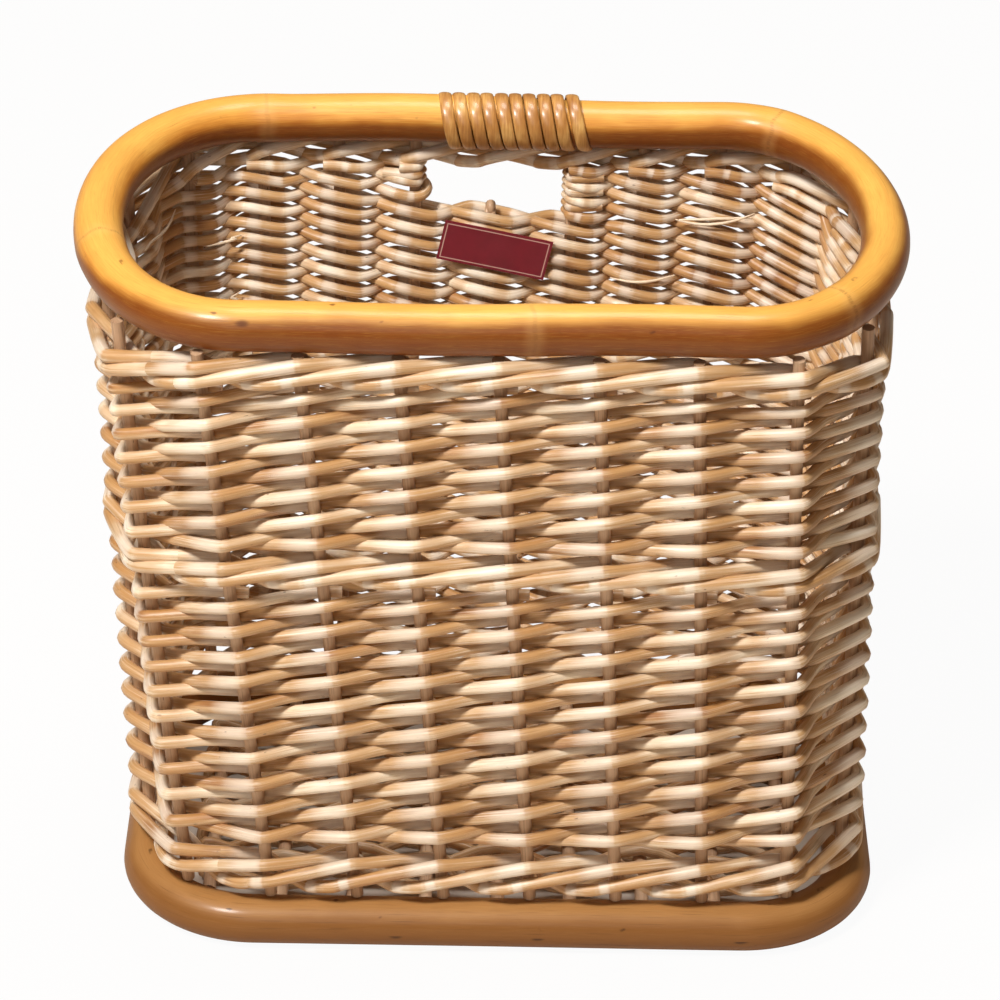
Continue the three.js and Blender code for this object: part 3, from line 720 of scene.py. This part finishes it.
class Block:
    """One height of randing, and where its rods are level by level. The swells are the rods'
    thickness beside that of their rows. A flat block's rods lie along the stakes they pass."""

    def __init__(self, floor, ceiling, butt, tip, butt_swell, tip_swell, drop, flat):
        middle = (butt + tip) / 2
        self.drop = drop
        self.flat = flat
        self.held_down = {}
        self.bottom = floor + butt / 2
        self.top = ceiling - tip / 2
        squeeze = 1 - end_dip / (wall_head - wall_foot)
        pairs = (self.top - self.bottom) * squeeze / (middle + rod_play) / 2
        self.steps = 2 * int(pairs + beaten_share)
        self.taper = (butt - tip) / (butt + tip)
        self.bare = (butt, tip)
        self.butt = butt * butt_swell
        self.tip = tip * tip_swell

    def height(self, level):
        """A rod passes inside lower than it passes outside, by the drop in levels."""
        risen = level - self.drop if level > 0 and self.side(level) < 0 else level
        share = risen / self.steps
        rise = share * (1 + self.taper * (1 - share))
        return self.bottom + (self.top - self.bottom) * rise

    def underside(self, level):
        butt, tip = self.bare
        return self.height(level) - (butt + (tip - butt) * level / self.steps) / 2

    def side(self, level):
        return -1 if level % 2 == 0 else 1

    def thick(self, level):
        share = min(1, max(0, level / self.steps))
        return self.butt + (self.tip - self.butt) * share

    def spot(self, stake, level, luck):
        height = self.height(level) + luck.uniform(-rod_play, rod_play)
        height -= self.held_down.get((stake, level), 0)
        point = crossing(stake, self.side(level), height, self.thick(level))
        return point, self.thick(level) / 2 * luck.uniform(0.95, 1.05), True


lower_floor = bottom_wale_height + foot_wale_rise / 2 + wale_half + foot_wale_to_randing
lower_ceiling = middle_wale_height + wale_rise / 2 - wale_half - randing_to_middle_wale
upper_floor = middle_wale_height + wale_rise / 2 + wale_half + wale_to_randing
upper_ceiling = top_wale_height + wale_rise / 2 - wale_half - randing_to_top_wale
lower_block = Block(
    lower_floor, lower_ceiling, butt=7.3 * millimetre, tip=5.9 * millimetre,
    butt_swell=0.92, tip_swell=1.02, drop=1.0, flat=0,
)
upper_block = Block(
    upper_floor, upper_ceiling, butt=6.2 * millimetre, tip=5 * millimetre,
    butt_swell=1.0, tip_swell=1.1, drop=1.0, flat=0,
)
lower_back_block = Block(
    lower_floor, lower_ceiling, butt=4.4 * millimetre, tip=3.8 * millimetre,
    butt_swell=1.34, tip_swell=1.42, drop=0, flat=0.26,
)
back_block = Block(
    upper_floor, upper_ceiling, butt=4 * millimetre, tip=3.5 * millimetre,
    butt_swell=1.46, tip_swell=1.58, drop=0, flat=0.26,
)
clear_level = next(
    level for level in range(1, back_block.steps + 1, 2)
    if back_block.underside(level) > hole_floor
)


def climb(block, stake, first_level, last_level, luck):
    """Spots of a rod from level to level. In a flat block it lies along each stake. In the
    others it dives behind the rods of the next stake as it goes in."""
    dive = 2.2 * millimetre
    spots = []
    for level in range(first_level, last_level + 1):
        here = stake + level - first_level
        point, half, bends = block.spot(here, level, luck)
        run = (stake_point(here + 1, point.z) - stake_point(here - 1, point.z)) * block.flat / 2
        run.z = (block.height(level + 1) - block.height(level - 1)) * block.flat
        if spots and block.flat:
            spots.append((point - run, half, bends))
        elif spots and block.side(level) < 0:
            middle = spots[-1][0].lerp(point, 0.5)
            spots.append((middle + stake_outward(here, middle.z) * -dive, half, False))
        if level in (first_level, last_level) or not block.flat:
            spots.append((point, half, bends))
        if block.flat and level < last_level:
            spots.append((point + run, half, bends))
    return spots


def tip_spot(spots, stake, length):
    """Where a rod's tip ends, past its last stake."""
    point, half, _ = spots[-1]
    outward = stake_outward(stake, point.z)
    return point + Vector((-outward.y, outward.x, 0)) * length, half, False


def half_round(middle, across, onward, shift):
    """Three points of a bend half round a middle, which shifts on the way."""
    turns = [(step / 4, step * math.pi / 4) for step in range(1, 4)]
    return [middle + across * math.cos(turn) + onward * math.sin(turn) + shift * share
            for share, turn in turns]


def turn_round(stake, start, end, from_side, way, thick):
    """A bend half round a stake, from one side of the wall to the other."""
    height = (start.z + end.z) / 2
    outward = stake_outward(stake, height)
    onward = Vector((-outward.y, outward.x, 0)) * way
    reach = (stake_thick + thick) / 2 + reach_play
    middle = stake_point(stake, height)
    middle.z = start.z
    shift = Vector((0, 0, end.z - start.z))
    points = half_round(middle, outward * from_side * reach, onward * reach, shift)
    return [(point, thick / 2, False) for point in points]


def rod_tone(luck):
    """Most rods are cream to tan, and one in nine is golden."""
    return luck.uniform(0.95, 1.2) if luck.random() < 0.11 else luck.uniform(0.2, 0.75)


tip_length = 8 * millimetre
back_bend = 3.5 * millimetre
hole_bend = 2.5 * millimetre
back_begin = stakes_front + stakes_end // 2
back_end = back_begin + stakes_end + stakes_back - 1
front_begin = back_end + 1 - stake_count
back_block.held_down = {
    (near_stake, clear_level - 2): 4.5 * millimetre,
    (cut_stake, clear_level - 1): 2.9 * millimetre,
    (far_stake, clear_level): 5.5 * millimetre,
}


def half_bay(block, stake, level, luck):
    """Where a rod is half way from one stake to the next, tucked into the wall."""
    here = block.spot(stake, level, luck)
    following = block.spot(stake + 1, level + 1, luck)
    return here[0].lerp(following[0], 0.5), here[1], False


def rod_length(block, stake, first_level, last_level, luck):
    """A rod from level to level: its cut butt, which leans on the rod before it, or a tucked
    start, its climb, and its tip, cut shorter beside the hand hole, or a tucked end."""
    if first_level == 0:
        butt = block.spot(stake - 1, 0, luck)[0].lerp(block.spot(stake, 1, luck)[0], 0.3)
        spots = [(butt, block.thick(0) / 2, False)]
    else:
        spots = [half_bay(block, stake - 1, first_level - 1, luck)]
    spots += climb(block, stake, first_level, last_level, luck)
    last_stake = stake + last_level - first_level
    if last_level == block.steps:
        reach = tip_length / 3 if last_stake == near_stake else tip_length
        return spots + [tip_spot(spots, last_stake, reach)]
    return spots + [half_bay(block, last_stake, last_level, luck)]


def front_routes(block, luck):
    """The front and the front halves of the ends."""
    starts = [(stake, 0) for stake in range(front_begin, back_begin)]
    starts += [(front_begin, level) for level in range(1, block.steps)]
    routes = []
    for stake, level in starts:
        last_level = min(block.steps, level + back_begin - 1 - stake)
        routes.append(rod_route(rod_length(block, stake, level, last_level, luck), rod_tone(luck)))
    return routes


def wrapped(stake, spot, side, way):
    """A rod twisted thin round a stake of the hand hole and tucked in on the other side."""
    twisted = 2.6 * millimetre
    point, half, _ = spot
    other = crossing(stake, -side, point.z, 2 * half)
    beside = stake_point(stake - way, point.z)
    spots = turn_round(stake, point, other, side, way, twisted)
    return spots + [(other, half, True), (other.lerp(beside, 0.42), half, False)]


def back_routes(block, first_clear, luck):
    """The back and the back halves of the ends. From the clear level up the hand hole is open."""
    routes = []
    for start_stake in range(back_begin - block.steps, back_end):
        first = max(0, back_begin - start_stake)
        last = min(block.steps, back_end - start_stake - luck.choice((0, 0, 1)))
        at_hole = cut_stake - start_stake
        tone = rod_tone(luck)
        if not first_clear <= at_hole <= last:
            if last > first:
                spots = rod_length(block, start_stake + first, first, last, luck)
                routes.append(rod_route(spots, tone, back_bend))
            continue
        spots = rod_length(block, start_stake + first, first, at_hole - 1, luck)[:-1]
        spots += wrapped(near_stake, spots[-1], block.side(at_hole - 1), 1)
        routes.append(rod_route(spots, tone, back_bend))
        if first_clear + 1 < at_hole < last:
            spots = rod_length(block, far_stake, at_hole + 1, last, luck)[1:]
            turn = wrapped(far_stake, spots[0], block.side(at_hole + 1), -1)
            routes.append(rod_route(turn[::-1] + spots, tone, back_bend))
    return routes


lower_routes = front_routes(lower_block, randing_luck)
lower_routes += back_routes(lower_back_block, lower_back_block.steps + 1, randing_luck)
lower_randing = sweep_routes("lower_randing_rods", lower_routes, willow, sides=10, steps=3)
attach(lower_randing, "root")
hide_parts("lower_randing")

upper_routes = front_routes(upper_block, randing_luck)
upper_routes += back_routes(back_block, clear_level, randing_luck)

# Loose fibres inside: a stake, bays from their end to it and bays they run, and in millimetres
# their height, fall, sag and how far their middle stands out
fibre_steps = 8
fibre_off = 8
fibre_tone = 1.1
for stake, start, run, height, fall, sag, out in (
    (12, -0.5, 1.0, 316, 4, 0.0, 2.0),
    (12, -0.55, 1.05, 317, 6, 3.5, 3.0),
    (13, -0.4, 0.9, 281, 2, 2.5, 1.5),
    (19, 0.1, 0.6, 300, 5, -1.0, 2.5),
    (19, 0.15, 0.5, 268, 4, 1.5, 3.0),
    (20, -0.2, 0.7, 322, 8, 2.0, 3.5),
):
    fibre = []
    for step in range(fibre_steps + 1):
        share = step / fibre_steps
        swell = math.sin(math.pi * share)
        bay = stake - start + run * share - run
        low_stake = math.floor(bay)
        z = (height - fall * (share - 0.5) - sag * swell) * millimetre
        here = stake_point(low_stake, z).lerp(stake_point(low_stake + 1, z), bay - low_stake)
        inward = stake_outward(round(bay), z) * -(fibre_off + out * swell) * millimetre
        fibre.append((here + inward, (0.28 + 0.5 * swell) * millimetre, False))
    upper_routes.append(rod_route(fibre, fibre_tone))
upper_randing = sweep_routes("upper_randing_rods", upper_routes, willow, sides=12, steps=3)
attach(upper_randing, "root")
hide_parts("upper_randing")

# The lowest rod beyond the hand hole is one rod turned round the stake that climbs on both ways
low_level = clear_level + 1
down = climb(back_block, far_stake, low_level, back_block.steps, randing_luck)[::-1]
up = climb(back_block, far_stake, low_level + 1, back_block.steps, randing_luck)
side = back_block.side(low_level)
turn = turn_round(far_stake, down[-1][0], up[0][0], side, -1, back_block.thick(low_level))
handhold_rod = sweep_routes(
    "handhold_rod_round", [rod_route(down + turn + up, 0.5, hole_bend)], willow,
    sides=12, steps=3,
)
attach(handhold_rod, "root")
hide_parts("handhold_rod_1")


# Rim hoop: the second thick pole, polished and varnished to a honey colour. It lies on the
# heads of the stakes and takes the hand at the back.
rim_corner = 73 * millimetre
rim_outline = Outline(rim_half, (rim_corner, rim_half[1]))
rim_knots = (0.02, 0.164, 0.357, 0.612, 0.784)
# Its tones: the first also paints light on the top, and the last is the painted shade of the
# underside, lessened at the back and the left end.
rim_finish = rattan_finish(
    "honey_rattan",
    (tint(230, 176, 86), tint(206, 138, 56), tint(176, 102, 34), tint(104, 42, 6)),
    tint(84, 40, 16), 0.33, 0.4,
    list(zip(along_pole(rim_outline, rim_knots), (0.3, 0.5, 0.45, 0.25, 0.4))),
    list(zip(along_pole(rim_outline, (0.42, 0.452, 0.888)), (0.1, 0.12, 0.9))),
    back_less_shade=0.5,
)
rim_hoop = sweep_routes(
    "rim_pole",
    [pole_route(rim_outline, rim_middle, 0, rim_pole / 2, rim_knots, 9, lift=2.0)],
    rim_finish, sides=40, steps=2,
)
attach(rim_hoop, "root")
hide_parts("rim_hoop")


# Grip binding: split cane wound round the back of the rim above the hand hole, side by side and
# not quite evenly, with its last turn a little apart.
grip_turns = 11
cane_width = 6.6 * millimetre
cane_thick = 2 * millimetre
cane_pitch = 7 * millimetre
last_gap = 2.4 * millimetre
grip_middle = 12.8 * millimetre
grip_start = grip_middle - (grip_turns * cane_pitch + last_gap) / 2
cane_sides = 10
cane_edge = 0.12
cane_roundness = 0.55
turn_steps = 32
first_turn = math.pi / 12
turn_lean = 1.5 * millimetre
turn_play = 0.45 * millimetre
grip_luck = random.Random(7)
grip_play = [grip_luck.uniform(-turn_play, turn_play) for _ in range(grip_turns + 1)]


def ring_mesh(name, rings):
    """A closed mesh through rings of points, with a flat face at each end."""
    mesh = bmesh.new()
    rings = [[mesh.verts.new(point) for point in ring] for ring in rings]
    sides = len(rings[0])
    for before, after in zip(rings, rings[1:]):
        for side in range(sides):
            following = (side + 1) % sides
            mesh.faces.new((before[side], after[side], after[following], before[following]))
    mesh.faces.new(rings[0])
    mesh.faces.new(rings[-1][::-1])
    bmesh.ops.recalc_face_normals(mesh, faces=mesh.faces)
    data = bpy.data.meshes.new(name)
    mesh.to_mesh(data)
    mesh.free()
    return data


def cane_mesh():
    """The cane is flat below and rounded above."""
    rings = []
    for step in range((grip_turns - 1) * turn_steps + 1):
        turns = step / turn_steps
        turn = turns * 2 * math.pi + first_turn
        apart = last_gap * min(1, max(0, turns - (grip_turns - 2)))
        whole = int(turns)
        play = grip_play[whole] + (grip_play[whole + 1] - grip_play[whole]) * (turns - whole)
        lean = play - turn_lean * math.sin(turn)
        middle = grip_start + cane_width / 2 + turns * cane_pitch + apart + lean
        out = Vector((0, math.cos(turn), math.sin(turn)))
        ring = []
        for side in range(cane_sides):
            bend = math.pi * side / (cane_sides - 1)
            lift = 0
            if 0 < side < cane_sides - 1:
                crown = math.sin(bend) ** cane_roundness
                lift = cane_thick * (cane_edge + (1 - cane_edge) * crown)
            point = Vector((middle - cane_width / 2 * math.cos(bend), rim_half[1], rim_middle))
            ring.append(point + out * (rim_pole / 2 + clearance + lift))
        rings.append(ring)
    data = ring_mesh("grip_cane", rings)
    for face in data.polygons:
        face.use_smooth = True
    return data


def cane_finish():
    finish = Finish("split_cane")
    where = finish.add("ShaderNodeTexCoord", output="Object")
    stretched = finish.add("ShaderNodeMapping", inputs={"Vector": where, "Scale": (900, 90, 90)})
    streak = finish.noise(stretched, 1.0, 3, 0.6)
    clouds = finish.noise(where, 60, 2, 0.5)
    colour = finish.ramp(streak * 0.5 + clouds * 0.5, [
        (0.3, tint(142, 88, 38)), (0.5, tint(180, 126, 64)), (0.7, tint(222, 176, 104)),
    ])
    return finish.surface(
        Base_Color=colour, Roughness=0.34 + streak * 0.1, Coat_Weight=0.35, Coat_Roughness=0.2,
        Normal=finish.bump(streak, 0.2, 0.0004),
    )


grip = linked("grip_cane", cane_mesh())
grip.data.materials.append(cane_finish())
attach(grip, "root")
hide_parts("grip_binding")


# Base: short willow sticks let in across the foot hoop, and one long rod woven through them.
# It is hidden in the photograph and made as such baskets have it.
base_sticks = 9
base_stick_thick = 7 * millimetre
base_spacing = 37 * millimetre
base_weaver_thick = 6 * millimetre
base_row_pitch = 8.5 * millimetre
base_margin = 12 * millimetre
base_half_run = (base_sticks - 1) / 2 * base_spacing
base_luck = random.Random(51)
for stick in range(base_sticks):
    node = "base_stick_%d" % (stick + 1)
    low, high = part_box(node)
    x = foot_shift + stick * base_spacing - base_half_run
    ends = [low[1] + (high[1] - low[1]) * step / 4 for step in range(5)]
    route = {
        "points": [Vector((x, y, foot_middle)) for y in ends],
        "thick": [base_stick_thick / 2] * 5, "tone": base_luck.random(),
    }
    piece = sweep_routes(node + "_rod", [route], stake_willow, sides=10, steps=2)
    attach(piece, "root")
    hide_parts(node)

base_reach = (base_stick_thick + base_weaver_thick) / 2 + clearance
base_rows = 2 * int((foot_half[1] - foot_pole / 2 - base_margin) / base_row_pitch)
base_points = []
for row in range(base_rows):
    y = (row - (base_rows - 1) / 2) * base_row_pitch
    way = 1 if row % 2 == 0 else -1
    for place in range(base_sticks):
        stick = place if way > 0 else base_sticks - 1 - place
        over = 1 if (stick + row) % 2 == 0 else -1
        middle = Vector((foot_shift + stick * base_spacing - base_half_run, y, foot_middle))
        up = Vector((0, 0, over * base_reach))
        base_points.append(middle + up)
        if place == base_sticks - 1 and row < base_rows - 1:
            onward = Vector((way * base_reach, 0, 0))
            base_points += half_round(middle, up, onward, Vector((0, base_row_pitch, 0)))
base_route = {
    "points": base_points, "thick": [base_weaver_thick / 2] * len(base_points), "tone": 0.4,
}
base_weaver = sweep_routes("base_weaver_rod", [base_route], willow, sides=8, steps=4)
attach(base_weaver, "root")
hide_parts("base_weaver")


# Label: a small glossy card fixed a little askew inside the back wall under the hand hole, left
# plain, with a thin pale line inside its edge.
label_width = 56 * millimetre
label_height = 22.5 * millimetre
label_thick = 0.6 * millimetre
label_bow = 0.2 * millimetre
label_border = 1.6 * millimetre
label_line = 0.35 * millimetre
label_turn = math.radians(12)
back_wall_spread = 10.5 * millimetre


def label_finish():
    finish = Finish("label_card")
    card = finish.add("ShaderNodeUVMap", {"uv_map": "card"})
    across = finish.part(card, "X").math("ABSOLUTE")
    upward = finish.part(card, "Y").math("ABSOLUTE")
    edge = (label_width / 2 - across).math("MINIMUM", label_height / 2 - upward)
    away = (edge - label_border).math("ABSOLUTE")
    line = finish.between(away, label_line, label_line / 2)
    shade = finish.noise(finish.add("ShaderNodeTexCoord", output="Object"), 90, 3, 0.6)
    paper = finish.mix(shade, tint(104, 8, 30), tint(134, 16, 42))
    colour = finish.mix(line * 0.75, paper, tint(226, 190, 176))
    return finish.surface(Base_Color=colour, Roughness=0.32, Coat_Weight=0.3, Coat_Roughness=0.12)


label_low, label_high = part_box("label_card")
wall_lean = math.atan2(back_wall_spread, wall_head - wall_foot)
label_matrix = (
    Matrix.Translation((label_low + label_high) / 2)
    @ Matrix.Rotation(-wall_lean, 4, "X") @ Matrix.Rotation(label_turn, 4, "Y")
)


def label_mesh():
    """A card bowed back at its ends. Its texture coordinates are the places on the flat card."""
    columns = 12
    rings = []
    for column in range(columns + 1):
        x = (column / columns - 0.5) * label_width
        bowed = label_bow * (2 * x / label_width) ** 2
        rings.append([
            (x, side * label_thick / 2 - bowed, up * label_height / 2)
            for side, up in ((-1, -1), (-1, 1), (1, 1), (1, -1))
        ])
    data = ring_mesh("label_sheet", rings)
    card = data.uv_layers.new(name="card")
    for corner in data.loops:
        card.data[corner.index].uv = data.vertices[corner.vertex_index].co.xz
    data.transform(label_matrix)
    return data


label_piece = linked("label_sheet", label_mesh())
label_piece.data.materials.append(label_finish())
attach(label_piece, "root")
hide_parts("label_card")


# Floor and light: a plain floor, white to the camera except inside the foot. A strong lamp high
# at the front left gives the weave its shadows, with weaker ones in front and above.
floor_reach = 6
floor_corners = [
    (x * floor_reach, y * floor_reach, 0) for x, y in ((-1, -1), (1, -1), (1, 1), (-1, 1))
]
floor_data = bpy.data.meshes.new("floor")
floor_data.from_pydata(floor_corners, [], [(0, 1, 2, 3)])
floor = linked("floor", floor_data)
floor_finish = Finish("white_floor")
seen = floor_finish.add("ShaderNodeLightPath", output="Is Camera Ray")
glow = floor_finish.add("ShaderNodeEmission", inputs={"Color": (1, 1, 1, 1), "Strength": 1.0})
matt = floor_finish.add("ShaderNodeBsdfDiffuse", inputs={"Color": (0.66, 0.58, 0.5, 1)})
where = floor_finish.add("ShaderNodeTexCoord", output="Object")
across = (floor_finish.part(where, "X") - foot_shift) / foot_half[0]
depth = floor_finish.part(where, "Y") / foot_half[1]
outside = floor_finish.between(across ** 4 + depth ** 4, 0.9, 1.0)
white_share = seen * outside * 0.95
both = floor_finish.add("ShaderNodeMixShader", inputs={0: white_share, 1: matt, 2: glow})
floor_finish.add("ShaderNodeOutputMaterial", inputs={"Surface": both})
floor.data.materials.append(floor_finish.material)


lamp_aim = Vector((0, 0, 0.2))


def soft_lamp(name, place, size, power, colour):
    data = bpy.data.lights.new(name, "AREA")
    data.shape = "DISK"
    data.size = size
    data.energy = power
    data.color = colour
    lamp = linked(name, data)
    lamp.location = place
    lamp.rotation_mode = "QUATERNION"
    lamp.rotation_quaternion = (lamp_aim - Vector(place)).to_track_quat("-Z", "Y")


soft_lamp("key_lamp", (-0.9, -1.05, 2.4), 0.5, 74, (1.0, 0.97, 0.93))
soft_lamp("front_lamp", (-0.3, -2.5, 1.6), 1.1, 6, (1.0, 0.98, 0.95))
soft_lamp("top_lamp", (0.1, 0.3, 2.4), 0.9, 26, (1.0, 0.98, 0.95))

world = bpy.data.worlds.new("studio")
world.use_nodes = True
sky = Nodes(world.node_tree)
seen = sky.add("ShaderNodeLightPath", output="Is Camera Ray")
room = sky.add("ShaderNodeBackground", inputs={"Color": (1, 0.86, 0.72, 1), "Strength": 0.12})
white = sky.add("ShaderNodeBackground", inputs={"Color": (1, 1, 1, 1)})
chosen = sky.add("ShaderNodeMixShader", inputs={0: seen, 1: room, 2: white})
sky.add("ShaderNodeOutputWorld", inputs={"Surface": chosen})
bpy.context.scene.world = world
